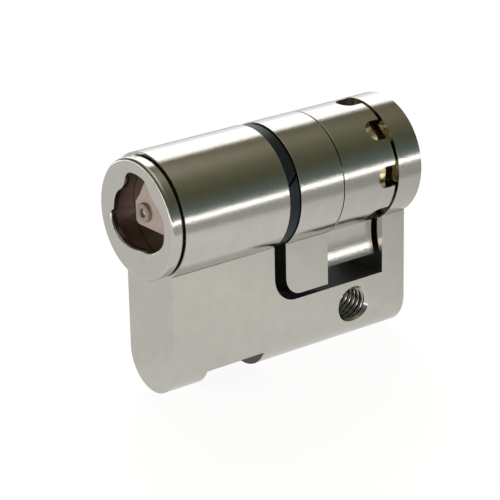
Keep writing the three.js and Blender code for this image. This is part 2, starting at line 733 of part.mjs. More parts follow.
// A round pin with a flat-bottomed side slot for the keeper
function indexPin() {
  const slotOuter = KEEPER_X - KEEPER_R - PIN_TRAVEL - 0.07;
  const slotInner = KEEPER_X + KEEPER_R + 0.07;
  const slot = block([slotOuter, PIN_Y - 2, KEEPER_Z - KEEPER_R - RUN], [slotInner, PIN_Y + 2, 2]);
  return cut(rodX(PIN_R, -PIN_OUTER, -PIN_INNER, PIN_Y), slot);
}

piece(core, 'core_tail', coreTail(), brass);
piece(core, 'tail_pin', rodX(TAIL_PIN_R, -CORE_R + 0.05, CORE_R - 0.05, TAIL_PIN_Y), hardenedSteel);
piece(core, 'index_pin', indexPin(), hardenedSteel);
piece(core, 'index_pin_keeper', keeper(KEEPER_R, 2, INDEX_REAR - 0.1), hardenedSteel);

export default lock;
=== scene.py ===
import json
import math

import bmesh
import bpy
from mathutils import Matrix, Vector


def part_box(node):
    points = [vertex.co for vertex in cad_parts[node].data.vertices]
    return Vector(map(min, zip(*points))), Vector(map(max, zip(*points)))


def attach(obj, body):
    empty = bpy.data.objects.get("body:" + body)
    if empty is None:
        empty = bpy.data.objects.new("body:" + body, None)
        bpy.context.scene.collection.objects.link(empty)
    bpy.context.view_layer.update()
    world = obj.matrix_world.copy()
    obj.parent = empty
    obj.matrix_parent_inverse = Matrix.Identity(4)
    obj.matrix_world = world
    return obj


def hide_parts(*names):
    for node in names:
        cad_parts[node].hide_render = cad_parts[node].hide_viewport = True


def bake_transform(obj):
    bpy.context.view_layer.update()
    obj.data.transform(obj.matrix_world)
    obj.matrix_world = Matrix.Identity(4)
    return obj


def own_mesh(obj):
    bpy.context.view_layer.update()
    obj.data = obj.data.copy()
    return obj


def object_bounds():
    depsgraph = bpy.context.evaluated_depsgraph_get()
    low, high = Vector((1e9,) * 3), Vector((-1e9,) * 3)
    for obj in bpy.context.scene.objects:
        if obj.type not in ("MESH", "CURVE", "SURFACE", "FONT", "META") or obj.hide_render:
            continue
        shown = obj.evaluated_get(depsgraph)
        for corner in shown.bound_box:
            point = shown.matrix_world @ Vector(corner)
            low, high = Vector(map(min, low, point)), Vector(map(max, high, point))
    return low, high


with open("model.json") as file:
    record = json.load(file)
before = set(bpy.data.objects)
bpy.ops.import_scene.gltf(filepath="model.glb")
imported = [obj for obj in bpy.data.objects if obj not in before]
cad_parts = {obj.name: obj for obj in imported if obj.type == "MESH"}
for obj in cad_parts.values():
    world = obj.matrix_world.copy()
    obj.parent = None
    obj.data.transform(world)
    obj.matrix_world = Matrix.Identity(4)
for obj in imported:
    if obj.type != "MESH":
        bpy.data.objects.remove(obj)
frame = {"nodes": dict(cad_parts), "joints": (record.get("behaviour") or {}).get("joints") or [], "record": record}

cad_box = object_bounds()

# ---------------------------------------------------------------- sizes from the frame

MM = 0.001
joints = {joint["name"]: joint for joint in frame["joints"]}
AXIS_Z = joints["core_spin"]["pos_m"][2] / MM
record = frame["record"]
body_of = {node: body for body, nodes in record["behaviour"]["bodies"].items() for node in nodes}
slot_of = {entry["node"]: entry["material_slot"] for entry in record["subparts"]}


class Span:
    """A CAD node's box in millimetres, measured from the barrel axis."""

    def __init__(self, node):
        low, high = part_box(node)
        self.x0, self.y0, self.z0 = low[0] / MM, low[1] / MM, low[2] / MM - AXIS_Z
        self.x1, self.y1, self.z1 = high[0] / MM, high[1] / MM, high[2] / MM - AXIS_Z
        self.x, self.y, self.z = (self.x0 + self.x1) / 2, (self.y0 + self.y1) / 2, (self.z0 + self.z1) / 2
        self.low, self.high = (self.x0, self.y0, self.z0), (self.x1, self.y1, self.z1)
        self.r = (self.z1 - self.z0) / 2


at = {node: Span(node) for node in frame["nodes"]}

# What the boxes can't tell, in millimetres
LEG_HALF = 5.0
RUN = 0.05
SEAT = 0.02
BARREL_R = cad_box[1][0] / MM
CORE_R = at["core_tail"].x1
HEAD_R = at["core_shell"].x1
BAY_R = 5.3
CAVITY_R = 6.2
NOSE_R = 6.9
CLIP_FLOOR = 6.0
HEAD_REAR = -25.0
SCREW_MAJOR = 2.5
SCREW_MINOR = 2.12
SCREW_PITCH = 0.8
WINDOW_FRONT = at["retaining_clip"].y0 - RUN
WINDOW_REAR = at["rear_bush"].y0 - RUN
WINDOW_R = 15.9
RELIEF_FRONT, RELIEF_REAR = -24.5, -15.2

# Facets round a turn, and the width of an ordinary broken edge
FINE = 192
MEDIUM = 96
SMALL = 48
EDGE = 0.1

# ---------------------------------------------------------------- meshes


def mesh_object(bm):
    bmesh.ops.remove_doubles(bm, verts=bm.verts, dist=1e-5)
    bmesh.ops.recalc_face_normals(bm, faces=bm.faces)
    mesh = bpy.data.meshes.new("mesh")
    bm.to_mesh(mesh)
    bm.free()
    thing = bpy.data.objects.new("mesh", mesh)
    bpy.context.scene.collection.objects.link(thing)
    return thing


def rounded(points, steps):
    """A closed outline in which a point's third value is the radius of the corner there."""
    out = []
    count = len(points)
    for i, point in enumerate(points):
        here = Vector(point[:2])
        if len(point) < 3:
            out.append(tuple(here))
            continue
        before = Vector(points[i - 1][:2]) - here
        after = Vector(points[(i + 1) % count][:2]) - here
        half = before.angle(after) / 2
        reach = min(point[2] / math.tan(half), 0.49 * before.length, 0.49 * after.length)
        centre = here + (before.normalized() + after.normalized()).normalized() * (reach / math.cos(half))
        first = here + before.normalized() * reach - centre
        last = here + after.normalized() * reach - centre
        sweep = math.atan2(first.x * last.y - first.y * last.x, first.dot(last))
        for k in range(steps + 1):
            turn = sweep * k / steps
            c, s = math.cos(turn), math.sin(turn)
            out.append((centre.x + c * first.x - s * first.y, centre.y + s * first.x + c * first.y))
    return out


def lathe(profile, segments=FINE, x=0.0, z=0.0, steps=4):
    """A body of revolution about the line through (x, z) along Y, from a closed outline of (radius, y)."""
    bm = bmesh.new()
    rings = []
    for radius, y in rounded(profile, steps):
        if radius < 1e-6:
            rings.append([bm.verts.new((x, y, z))] * segments)
            continue
        turns = [2 * math.pi * k / segments for k in range(segments)]
        rings.append([bm.verts.new((x + radius * math.cos(t), y, z + radius * math.sin(t))) for t in turns])
    for i, ring in enumerate(rings):
        other = rings[(i + 1) % len(rings)]
        for k in range(segments):
            n = (k + 1) % segments
            corners = list(dict.fromkeys([ring[k], ring[n], other[n], other[k]]))
            if len(corners) > 2:
                bm.faces.new(corners)
    return mesh_object(bm)


def disc(radius, y0, y1, edge=0.0, segments=FINE, x=0.0, z=0.0):
    corner = (edge,) if edge else ()
    return lathe([(0, y0), (radius, y0, *corner), (radius, y1, *corner), (0, y1)], segments, x, z)


def tube(inner, outer, y0, y1, edge, segments=FINE):
    return lathe([(inner, y0, edge), (outer, y0, edge), (outer, y1, edge), (inner, y1, edge)], segments)


def prism(outline, y0, y1):
    """An X-Z outline swept along Y."""
    bm = bmesh.new()
    front = [bm.verts.new((x, y0, z)) for x, z in outline]
    rear = [bm.verts.new((x, y1, z)) for x, z in outline]
    bm.faces.new(front)
    bm.faces.new(rear[::-1])
    for k in range(len(outline)):
        n = (k + 1) % len(outline)
        bm.faces.new((front[k], rear[k], rear[n], front[n]))
    return mesh_object(bm)


def block(low, high):
    bm = bmesh.new()
    bmesh.ops.create_cube(bm, size=1)
    bmesh.ops.scale(bm, vec=[b - a for a, b in zip(low, high)], verts=bm.verts)
    bmesh.ops.translate(bm, vec=[(a + b) / 2 for a, b in zip(low, high)], verts=bm.verts)
    return mesh_object(bm)


def moved(thing, matrix):
    thing.data.transform(matrix)
    return thing


def shifted(thing, x=0.0, y=0.0, z=0.0):
    return moved(thing, Matrix.Translation((x, y, z)))


def swung(thing, deg):
    """Turns a thing about the barrel axis, from +X towards +Z."""
    return moved(thing, Matrix.Rotation(math.radians(-deg), 4, "Y"))


def rod_x(radius, x0, x1, y, z=0.0, edge=0.0, segments=MEDIUM):
    rod = disc(radius, x0, x1, edge, segments)
    return shifted(moved(rod, Matrix.Rotation(math.radians(-90), 4, "Z")), 0, y, z)


def rod_z(radius, z0, z1, y, edge=0.0, segments=MEDIUM):
    rod = disc(radius, z0, z1, edge, segments)
    return shifted(moved(rod, Matrix.Rotation(math.radians(90), 4, "X")), 0, y, 0)


def arc(cx, cz, radius, start, end, count):
    angles = [math.radians(start + (end - start) * k / count) for k in range(count + 1)]
    return [(cx + radius * math.cos(a), cz + radius * math.sin(a)) for a in angles]


def bend(a, b, c, count=12):
    """A quadratic curve from a to c, without its first point."""
    out = []
    for k in range(1, count + 1):
        t = k / count
        out.append(tuple((1 - t) ** 2 * p + 2 * t * (1 - t) * q + t * t * r for p, q, r in zip(a, b, c)))
    return out


def settle(thing):
    """Applies a thing's modifiers to its mesh."""
    graph = bpy.context.evaluated_depsgraph_get()
    mesh = bpy.data.meshes.new_from_object(thing.evaluated_get(graph))
    thing.modifiers.clear()
    thing.data = mesh
    return thing


def combine(thing, others, kind):
    """Joins, cuts or intersects a thing with others, uses them up, and mends slivers that this leaves."""
    for other in others:
        step = thing.modifiers.new("combine", "BOOLEAN")
        step.object = other
        step.operation = kind
        step.solver = "EXACT"
        settle(thing)
        bpy.data.objects.remove(other)
    bm = bmesh.new()
    bm.from_mesh(thing.data)
    bmesh.ops.remove_doubles(bm, verts=bm.verts, dist=2e-4)
    bmesh.ops.dissolve_degenerate(bm, edges=bm.edges, dist=2e-4)
    bmesh.ops.delete(bm, geom=[e for e in bm.edges if e.is_wire], context="EDGES")
    bmesh.ops.holes_fill(bm, edges=[e for e in bm.edges if e.is_boundary], sides=0)
    bm.to_mesh(thing.data)
    bm.free()
    return thing


def cut(thing, *others):
    return combine(thing, others, "DIFFERENCE")


def join(thing, *others):
    return combine(thing, others, "UNION")


def common(thing, other):
    return combine(thing, [other], "INTERSECT")


def bevel(thing, width=EDGE, segments=3, angle=32):
    """Rounds the outward edges of a thing that are sharper than an angle."""
    bm = bmesh.new()
    bm.from_mesh(thing.data)
    limit = math.radians(angle)
    edges = [e for e in bm.edges if len(e.link_faces) == 2 and e.is_convex and e.calc_face_angle() > limit]
    round_over(bm, edges, width, segments)
    bm.to_mesh(thing.data)
    bm.free()
    return thing


def round_over(bm, edges, width, segments=3, clamp=True):
    bmesh.ops.bevel(
        bm, geom=edges, offset=width, segments=segments, profile=0.5, affect="EDGES", clamp_overlap=clamp
    )


def place(thing, node, look=None):
    """Scales a finished piece to metres and puts it in a CAD node's place, on its body and in its look."""
    dress(thing, "fine_" + node, slot_of[node], look)
    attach(thing, body_of[node])
    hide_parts(node)
    return thing


def dress(thing, name, slot, look=None):
    thing.name = name
    mesh = thing.data
    mesh.name = name
    mesh.transform(Matrix.Translation((0, 0, AXIS_Z * MM)) @ Matrix.Scale(MM, 4))
    mesh.materials.clear()
    mesh.materials.append(looks[look or slot])
    soften(mesh)
    return thing


def soften(mesh):
    """Smooths the shading: broken edges run into flat faces, and flat faces stay flat."""
    large = 1e-6
    centre = AXIS_Z * MM
    around = [[] for _ in mesh.vertices]
    for face in mesh.polygons:
        face.use_smooth = True
        for v in face.vertices:
            around[v].append(face)
    normals = []
    for face in mesh.polygons:
        limit = math.cos(math.radians(10 if face.area > large else 38))
        corners = [mesh.vertices[v].co for v in face.vertices]
        radii = [math.hypot(co.x, co.z - centre) for co in corners]
        turned = abs(face.normal.y) < 1e-3 and max(radii) - min(radii) < 1e-6
        for v, co in zip(face.vertices, corners):
            if turned:
                out = Vector((co.x, 0, co.z - centre)).normalized()
                normals.append(out if out.dot(face.normal) > 0 else -out)
                continue
            total = Vector()
            for other in around[v]:
                if face.normal.dot(other.normal) > limit:
                    total += other.normal * (other.area / large)
            normals.append(total.normalized() if total.length > 1e-9 else face.normal)
    mesh.normals_split_custom_set(normals)


# ---------------------------------------------------------------- materials


class Look:
    """A Principled material under construction."""

    def __init__(self, name):
        self.material = bpy.data.materials.new(name)
        self.material.use_nodes = True
        self.tree = self.material.node_tree
        self.shader = self.tree.nodes["Principled BSDF"]

    def node(self, kind, **settings):
        made = self.tree.nodes.new(kind)
        for key, value in settings.items():
            setattr(made, key, value)
        return made

    def link(self, source, target):
        self.tree.links.new(source, target)

    def math(self, operation, a, b=0.0):
        made = self.node("ShaderNodeMath", operation=operation)
        for socket, value in zip(made.inputs, (a, b)):
            if isinstance(value, (int, float)):
                socket.default_value = value
            else:
                self.link(value, socket)
        return made.outputs[0]

    def position(self):
        return self.node("ShaderNodeTexCoord").outputs["Object"]

    def places(self):
        """The place on the object: x, y and z from the barrel axis, and the distance from that axis."""
        parts = self.node("ShaderNodeSeparateXYZ")
        self.link(self.position(), parts.inputs[0])
        x, y = parts.outputs[0], parts.outputs[1]
        z = self.math("SUBTRACT", parts.outputs[2], AXIS_Z * MM)
        radius = self.math("SQRT", self.math("ADD", self.math("MULTIPLY", x, x), self.math("MULTIPLY", z, z)))
        return x, y, z, radius

    def within(self, value, low, high):
        """One where a place in metres lies between two limits in millimetres, else zero."""
        above = self.math("GREATER_THAN", value, low * MM)
        return self.math("MULTIPLY", above, self.math("LESS_THAN", value, high * MM))

    def turned(self, along, around):
        """A vector that changes fast along the barrel and across its faces, and slowly round it."""
        x, y, z, radius = self.places()
        vector = self.node("ShaderNodeCombineXYZ")
        self.link(self.math("MULTIPLY", radius, along), vector.inputs[0])
        self.link(self.math("MULTIPLY", y, along), vector.inputs[1])
        self.link(self.math("MULTIPLY", self.math("ARCTAN2", z, x), around), vector.inputs[2])
        return vector.outputs[0]

    def noise(self, vector, scale, detail=4.0, rough=0.55):
        made = self.node("ShaderNodeTexNoise")
        self.link(vector, made.inputs["Vector"])
        made.inputs["Scale"].default_value = scale
        made.inputs["Detail"].default_value = detail
        made.inputs["Roughness"].default_value = rough
        return made.outputs["Fac"]

    def spread(self, value, low, high, start=0.3, end=0.7):
        made = self.node("ShaderNodeMapRange")
        self.link(value, made.inputs["Value"])
        for name, number in (("From Min", start), ("From Max", end), ("To Min", low), ("To Max", high)):
            made.inputs[name].default_value = number
        return made.outputs[0]

    def tint(self, value, dark, light):
        made = self.node("ShaderNodeValToRGB")
        self.link(value, made.inputs[0])
        for element, where, colour in zip(made.color_ramp.elements, (0.3, 0.7), (dark, light)):
            element.position = where
            element.color = (*colour, 1)
        self.link(made.outputs[0], self.shader.inputs["Base Color"])
        return made.outputs[0]

    def overlay(self, mask, under, colour):
        """Replaces the base colour by another one where the mask is one."""
        made = self.node("ShaderNodeMix", data_type="RGBA")
        self.link(mask, made.inputs[0])
        self.link(under, made.inputs[6])
        made.inputs[7].default_value = (*colour, 1)
        self.link(made.outputs[2], self.shader.inputs["Base Color"])
        return made.outputs[2]

    def bump(self, height, strength, distance):
        made = self.node("ShaderNodeBump")
        made.inputs["Strength"].default_value = strength
        made.inputs["Distance"].default_value = distance
        self.link(height, made.inputs["Height"])
        self.link(made.outputs[0], self.shader.inputs["Normal"])


def turned_metal(name, dark, light, rough, share=1.0, depth=3e-6):
    """Metal with specks and the fine lines of a lathe round the barrel; share weighs the lines' height."""
    look = Look(name)
    look.shader.inputs["Metallic"].default_value = 1.0
    lathe_lines = look.noise(look.turned(5200.0, 9.0), 1.0, 3.0, 0.6)
    specks = look.noise(look.position(), 5600.0, 3.0, 0.6)
    look.tint(look.noise(look.position(), 420.0, 3.0), dark, light)
    look.link(look.spread(lathe_lines, *rough), look.shader.inputs["Roughness"])
    look.bump(look.math("ADD", look.math("MULTIPLY", lathe_lines, share), specks), 0.5, depth)
    return look.material


def even_surface(name, dark, light, rough, metallic=1.0, scale=4200.0, depth=3e-6):
    """A surface with an even, fine grain: plated, tumbled, ground or moulded."""
    look = Look(name)
    look.shader.inputs["Metallic"].default_value = metallic
    grain = look.noise(look.position(), scale, 3.0, 0.6)
    look.tint(look.noise(look.position(), 300.0, 3.0), dark, light)
    look.link(look.spread(grain, *rough), look.shader.inputs["Roughness"])
    look.bump(grain, 0.5, depth)
    return look.material


def housing_metal():
    """Nickel plate: turned on the barrel and ground on the leg, with painted shade in the cam window, the foot
    relief and the cross hole's thread.
    """
    look = Look("housing_nickel")
    leg_top, slot_top = -7, -21.6
    x, y, z, radius = look.places()
    across = look.math("ABSOLUTE", x)
    lathe_lines = look.noise(look.turned(5200.0, 9.0), 1.0, 3.0, 0.6)
    grain = look.noise(look.position(), 5600.0, 3.0, 0.6)
    barrel = look.math("GREATER_THAN", z, leg_top * MM)
    lines = look.math("MULTIPLY", lathe_lines, look.math("MULTIPLY", barrel, 0.2))
    specks = look.math("MULTIPLY", grain, look.math("ADD", look.math("MULTIPLY", barrel, 0.7), 0.3))
    look.bump(look.math("ADD", lines, specks), 0.5, 2.2e-5)
    plate = look.tint(look.noise(look.position(), 420.0, 3.0), (0.55, 0.525, 0.48), (0.58, 0.555, 0.51))
    # Painted shade: the cam window's walls are coloured near black and made rough, less shiny and not metallic.
    window = look.within(y, WINDOW_FRONT - 0.02, WINDOW_REAR - 0.01)
    window = look.math("MULTIPLY", window, look.within(across, -1, LEG_HALF - 0.08))
    window = look.math("MULTIPLY", window, look.within(radius, 0, WINDOW_R + 0.03))
    # Painted shade: the cross hole's thread is coloured darker than the plate.
    height = look.math("ADD", z, AXIS_Z * MM)
    from_thread = look.math("ADD", look.math("MULTIPLY", y, y), look.math("MULTIPLY", height, height))
    from_thread = look.math("SQRT", from_thread)
    thread = look.within(from_thread, -1, SCREW_MAJOR + 0.06)
    thread = look.math("MULTIPLY", thread, look.within(across, -1, LEG_HALF - 0.6))
    # Painted shade: the foot relief is coloured dark brown.
    foot_slot = look.within(y, RELIEF_FRONT - 0.03, RELIEF_REAR + 0.03)
    foot_slot = look.math("MULTIPLY", foot_slot, look.within(z, -99, slot_top))
    painted_shade_colour = look.overlay(foot_slot, plate, (0.10, 0.085, 0.07))
    painted_shade_colour = look.overlay(thread, painted_shade_colour, (0.36, 0.35, 0.32))
    look.overlay(window, painted_shade_colour, (0.05, 0.055, 0.05))
    look.link(look.math("SUBTRACT", 1.0, window), look.shader.inputs["Metallic"])
    shine = look.math("SUBTRACT", 0.5, look.math("MULTIPLY", window, 0.4))
    look.link(shine, look.shader.inputs["Specular IOR Level"])
    rough = look.math("ADD", look.spread(grain, 0.1, 0.18), look.math("MULTIPLY", window, 0.45))
    look.link(rough, look.shader.inputs["Roughness"])
    return look.material


def shell_metal():
    """Nickel plate outside, with painted shade: a darker, pinker colour in the cavity behind the key socket."""
    look = Look("shell_nickel")
    look.shader.inputs["Metallic"].default_value = 1.0
    radius = look.places()[3]
    grain = look.noise(look.position(), 4200.0, 3.0, 0.6)
    look.link(look.spread(grain, 0.25, 0.4), look.shader.inputs["Roughness"])
    look.bump(grain, 0.5, 3e-6)
    plate = look.tint(look.noise(look.position(), 420.0, 3.0), (0.52, 0.5, 0.46), (0.56, 0.54, 0.5))
    # Painted shade: the cavity behind the key socket is coloured darker and pinker than the plate.
    look.overlay(look.within(radius, -1, CAVITY_R + 0.1), plate, (0.46, 0.37, 0.33))
    return look.material


def seat_metal():
    """A ground plateau, with painted shade on its sides and the deeper floor round it."""
    look = Look("seat_metal")
    look.shader.inputs["Metallic"].default_value = 1.0
    y = look.places()[1]
    grain = look.noise(look.position(), 4200.0, 3.0, 0.6)
    look.link(look.spread(grain, 0.28, 0.42), look.shader.inputs["Roughness"])
    look.bump(grain, 0.5, 4e-6)
    plateau = look.tint(look.noise(look.position(), 700.0, 3.0), (0.44, 0.34, 0.29), (0.54, 0.43, 0.37))
    # Painted shade: everything more than 0.1 mm behind the plateau's face is coloured darker.
    look.overlay(look.within(y, at["key_seat"].y0 + 0.1, 0), plateau, (0.32, 0.25, 0.22))
    return look.material


# A look's darkest and lightest colours, and its range of roughness
looks = {
    "satin_nickel": even_surface("satin_nickel", (0.55, 0.52, 0.475), (0.575, 0.545, 0.50), (0.14, 0.2)),
    "turned_nickel": turned_metal("turned_nickel", (0.55, 0.53, 0.49), (0.58, 0.56, 0.52), (0.11, 0.19)),
    "polished_nickel": turned_metal("polished_nickel", (0.54, 0.52, 0.475), (0.57, 0.55, 0.505), (0.12, 0.2)),
    "ring_nickel": turned_metal(
        "ring_nickel", (0.54, 0.52, 0.475), (0.57, 0.55, 0.505), (0.08, 0.15), 0.12, 2.6e-5
    ),
    "nickel_silver": even_surface("nickel_silver", (0.19, 0.135, 0.12), (0.29, 0.22, 0.19), (0.2, 0.34)),
    "hardened_steel": even_surface("hardened_steel", (0.36, 0.36, 0.37), (0.48, 0.48, 0.49), (0.25, 0.35)),
    "spring_steel": even_surface("spring_steel", (0.40, 0.40, 0.41), (0.55, 0.55, 0.56), (0.2, 0.3)),
    "black_oxide": even_surface(
        "black_oxide", (0.016, 0.022, 0.026), (0.024, 0.032, 0.037), (0.34, 0.46), 0.2
    ),
    "brass": even_surface("brass", (0.74, 0.60, 0.34), (0.80, 0.66, 0.40), (0.2, 0.3), 1.0, 2600.0, 2e-6),
    "soft_iron": even_surface("soft_iron", (0.25, 0.25, 0.25), (0.36, 0.36, 0.36), (0.4, 0.55)),
    "copper_winding": turned_metal("copper_winding", (0.40, 0.13, 0.05), (0.62, 0.25, 0.10), (0.28, 0.4)),
    "gold_plate": even_surface("gold_plate", (0.50, 0.42, 0.32), (0.60, 0.52, 0.42), (0.15, 0.25)),
    "pale_plastic": even_surface("pale_plastic", (0.36, 0.29, 0.25), (0.43, 0.35, 0.30), (0.35, 0.5), 0.0),
    "dark_plastic": even_surface("dark_plastic", (0.02, 0.02, 0.022), (0.04, 0.04, 0.043), (0.45, 0.6), 0.0),
    "board": even_surface("board", (0.01, 0.09, 0.045), (0.02, 0.14, 0.07), (0.3, 0.45), 0.0),
    "seal_rubber": even_surface("seal_rubber", (0.012, 0.012, 0.012), (0.025, 0.025, 0.025), (0.6, 0.8), 0.0),
    "housing_nickel": housing_metal(),
    "shell_nickel": shell_metal(),
    "seat_metal": seat_metal(),
}
looks["black_oxide"].node_tree.nodes["Principled BSDF"].inputs["Specular IOR Level"].default_value = 0.2


# ---------------------------------------------------------------- housing


def profile_outline():
    """The standard profile: foot, leg and barrel."""
    foot = at["housing"].z0 + LEG_HALF
    join_angle = math.degrees(math.acos(LEG_HALF / BARREL_R))
    foot_arc = arc(0, foot, LEG_HALF, 180, 360, 64)
    return foot_arc + arc(0, 0, BARREL_R, -join_angle, 180 + join_angle, 200)


def thread_tap():
    """A threaded rod along X: it cuts the M5 thread of the cross hole."""
    around, per_turn = 48, 8
    length = 2 * LEG_HALF + 2.4
    rows = int(length / SCREW_PITCH * per_turn)
    bm = bmesh.new()
    rings = []
    for i in range(rows + 1):
        x = -length / 2 + length * i / rows
        ring = []
        for k in range(around):
            phase = (x / SCREW_PITCH - k / around) % 1.0
            ridge = min(1.0, max(0.0, 1.25 - 2.5 * abs(2 * phase - 1)))
            radius = SCREW_MINOR + (SCREW_MAJOR - SCREW_MINOR) * ridge
            turn = 2 * math.pi * k / around
            ring.append(bm.verts.new((x, radius * math.cos(turn), radius * math.sin(turn))))
        rings.append(ring)
    for a, b in zip(rings, rings[1:]):
        for k in range(around):
            n = (k + 1) % around
            bm.faces.new((a[k], a[n], b[n], b[k]))
    bm.faces.new(rings[0][::-1])
    bm.faces.new(rings[-1])
    return shifted(mesh_object(bm), 0, 0, -AXIS_Z)


def screw_mouth(side):
    """The countersink at one end of the cross hole."""
    wide, depth = SCREW_MAJOR + 0.35, 0.75
    cone = lathe([(0, 0), (SCREW_MINOR, 0), (wide, depth), (0, depth)], MEDIUM)
    cone = moved(cone, Matrix.Rotation(math.radians(-90 * side), 4, "Z"))
    return shifted(cone, side * (LEG_HALF - depth + 0.2), 0, -AXIS_Z)


def groove_cutters():
    """Sloped grooves in the bore, where the side bar locks."""
    bar = at["side_bar"]
    travel = joints["side_bar_slide"]["range_m"][1] / MM
    depth, half = -bar.x0 + travel + 0.08, bar.z1 + 0.13
    outline = [(CORE_R - 1, half + 1), (CORE_R - 1, -half - 1), (depth, -half), (depth, half)]
    return [swung(prism(outline, bar.y0 - 0.35, bar.y1 + 0.35), deg) for deg in (0, 90, 180, 270)]


def junction_lines(y0, y1):
    """Fine tool lines where the barrel's curve meets the flat sides below it."""
    z = -math.sqrt(BARREL_R**2 - LEG_HALF**2)
    return [prism(arc(side * LEG_HALF, z, 0.08, 0, 330, 11), y0, y1) for side in (1, -1)]


def make_housing():
    front, rear = at["housing"].y0, at["housing"].y1
    head_rear = HEAD_REAR + 0.1
    body = prism(profile_outline(), front, rear)
    window = lathe(
        [(0, WINDOW_FRONT), (WINDOW_R, WINDOW_FRONT, 3.5), (WINDOW_R, WINDOW_REAR), (0, WINDOW_REAR)],
        steps=16,
    )
    bush = at["rear_bush"]
    bores = [
        disc(HEAD_R + RUN, front - 1, head_rear),
        disc(CORE_R + RUN, HEAD_REAR, WINDOW_FRONT + 1),
        disc(bush.x1 + SEAT, WINDOW_REAR - 1, bush.y1 + 2 * RUN, segments=MEDIUM),
    ]
    pins = [at["guard_pin_1"], at["guard_pin_2"]]
    relief_top = pins[0].z0 - SEAT
    relief = block((-6, RELIEF_FRONT, at["housing"].z0 - 1), (6, RELIEF_REAR, relief_top))
    guard_holes = [rod_z(pin.x1 + SEAT, relief_top - 1, pin.z1 + SEAT, pin.y) for pin in pins]
    bevel(cut(body, window), 0.14)
    cut(body, *junction_lines(front - 1, rear + 1))
    cut(body, *bores, relief, *guard_holes, *groove_cutters())
    cut(body, screw_mouth(1), screw_mouth(-1), thread_tap())
    place(body, "housing", "housing_nickel")
    for node, pin in zip(("guard_pin_1", "guard_pin_2"), pins):
        place(rod_z(pin.x1, pin.z0, pin.z1, pin.y, 0.2), node)
    place(tube(3.04, bush.x1, bush.y0, bush.y1, 0.1, MEDIUM), "rear_bush")
    washer = at["thrust_washer"]
    place(tube(3.1, washer.x1, washer.y0, washer.y1, 0.1, MEDIUM), "thrust_washer")


# ---------------------------------------------------------------- cap, key seat and contact

SOCKET_R = 6.08


def socket_outline():
    """The key socket: a round opening with a wide lobe on top, one at each side, and a flat bottom."""

    def on(deg):
        return SOCKET_R * math.cos(math.radians(deg)), SOCKET_R * math.sin(math.radians(deg))

    points = arc(0, 0, SOCKET_R, 99.5, 68, 16)
    points += bend(on(68), (3.3, 3.85), (4.6, 2.9))
    points += bend((4.6, 2.9), (5.6, 2.15), on(12))
    points += arc(0, 0, SOCKET_R, 12, -13, 12)[1:]
    points += bend(on(-13), (5.4, -2.6), (3.75, -3.4))
    points += bend((3.75, -3.4), (2.5, -4.05), (1.3, -3.85))
    points += bend((1.3, -3.85), (-2.6, -4.6), (-4.4, -3.1), 20)
    points += bend((-4.4, -3.1), (-5.6, -2.1), (-5.75, -0.5))
    points += [(-5.1, 0.0)]
    points += bend((-5.1, 0.0), (-5, 2), (-3.75, 2.9))
    points += bend((-3.75, 2.9), (-2.6, 3.5), (-2.35, 4.7))
    points += bend((-2.35, 4.7), (-2, 5.7), on(99.5))[:-1]
    return points


def chamfer_rim(thing, y, width, reach):
    """Chamfers the edges of a thing that lie in the plane at y, nearer to the axis than reach."""
    bm = bmesh.new()
    bm.from_mesh(thing.data)
    edges = []
    for edge in bm.edges:
        if all(abs(v.co.y - y) < 1e-4 and math.hypot(v.co.x, v.co.z) < reach for v in edge.verts):
            if len(edge.link_faces) == 2 and edge.calc_face_angle() > math.radians(60):
                edges.append(edge)
    round_over(bm, edges, width, clamp=False)
    bm.to_mesh(thing.data)
    bm.free()
    return thing


def make_cap():
    cap = at["face_cap"]
    recess, rear = cap.y1 - 0.6, cap.y1 + 0.1
    profile = [
        (0, cap.y0),
        (cap.x1, cap.y0, 0.5),
        (cap.x1, rear, 0.07),
        (NOSE_R + RUN, rear, 0.05),
        (NOSE_R + RUN, recess),
        (0, recess),
    ]
    body = cut(lathe(profile, steps=8), prism(socket_outline(), cap.y0 - 1, cap.y1 + 1))
    place(chamfer_rim(body, cap.y0, 0.26, 6.5), "face_cap")


def plateau_outline():
    """The raised part of the key seat."""
    points = [(7, -1.35)]
    points += [(-1.3, -1.4)]
    points += bend((-1.3, -1.4), (-2.2, -1.4), (-2.2, -0.6), 8)
    points += [(-2.2, 1.6), (-1.3, 2.6), (0.5, 5.6), (0.7, 7), (7, 7)]
    return points


def make_seat():
    seat, boss = at["key_seat"], at["contact_insulator"]
    floor = seat.y1 - 0.68
    base = disc(seat.x1, floor, seat.y1)
    plateau = common(disc(seat.x1, seat.y0, floor + 0.1), prism(plateau_outline(), seat.y0 - 1, seat.y1))
    hole = disc(boss.r + SEAT, seat.y0 - 1, seat.y1 + 1, 0, MEDIUM, boss.x, boss.z)
    place(bevel(cut(join(base, plateau), hole), 0.12), "key_seat", "seat_metal")


def make_contact():
    boss, pin, terminal = at["contact_insulator"], at["contact_pin"], at["contact_terminal"]
    shaft, collar = 0.57, pin.y1 - 0.45
    profile = [
        (shaft + RUN, boss.y0, 0.05),
        (boss.r, boss.y0, 0.2),
        (boss.r, boss.y1, 0.05),
        (1, boss.y1, 0.03),
        (1, collar - RUN),
        (shaft + RUN, collar - RUN),
    ]
    place(lathe(profile, MEDIUM, boss.x, boss.z), "contact_insulator")
    profile = [
        (0, pin.y0),
        (shaft, pin.y0, 0.3),
        (shaft, collar, 0.02),
        (pin.r, collar, 0.06),
        (pin.r, pin.y1, 0.06),
        (0, pin.y1),
    ]
    place(lathe(profile, SMALL, boss.x, boss.z), "contact_pin")
    thick = 0.3
    plate = disc(1.25, terminal.y0, terminal.y0 + thick, 0, SMALL, boss.x, boss.z)
    tongue = block((-0.6, terminal.y0, boss.z), (0.2, terminal.y0 + thick, terminal.z1))
    foot = block((-0.6, terminal.y0, terminal.z1 - 0.25), (0.2, terminal.y1, terminal.z1))
    place(bevel(join(plate, tongue, foot), 0.05), "contact_terminal")


# ---------------------------------------------------------------- core

ORING_FLOOR = 6.62
KEY_FLOOR = 5.85
TAIL_PIN_HOLE_R = at["tail_pin"].r + SEAT


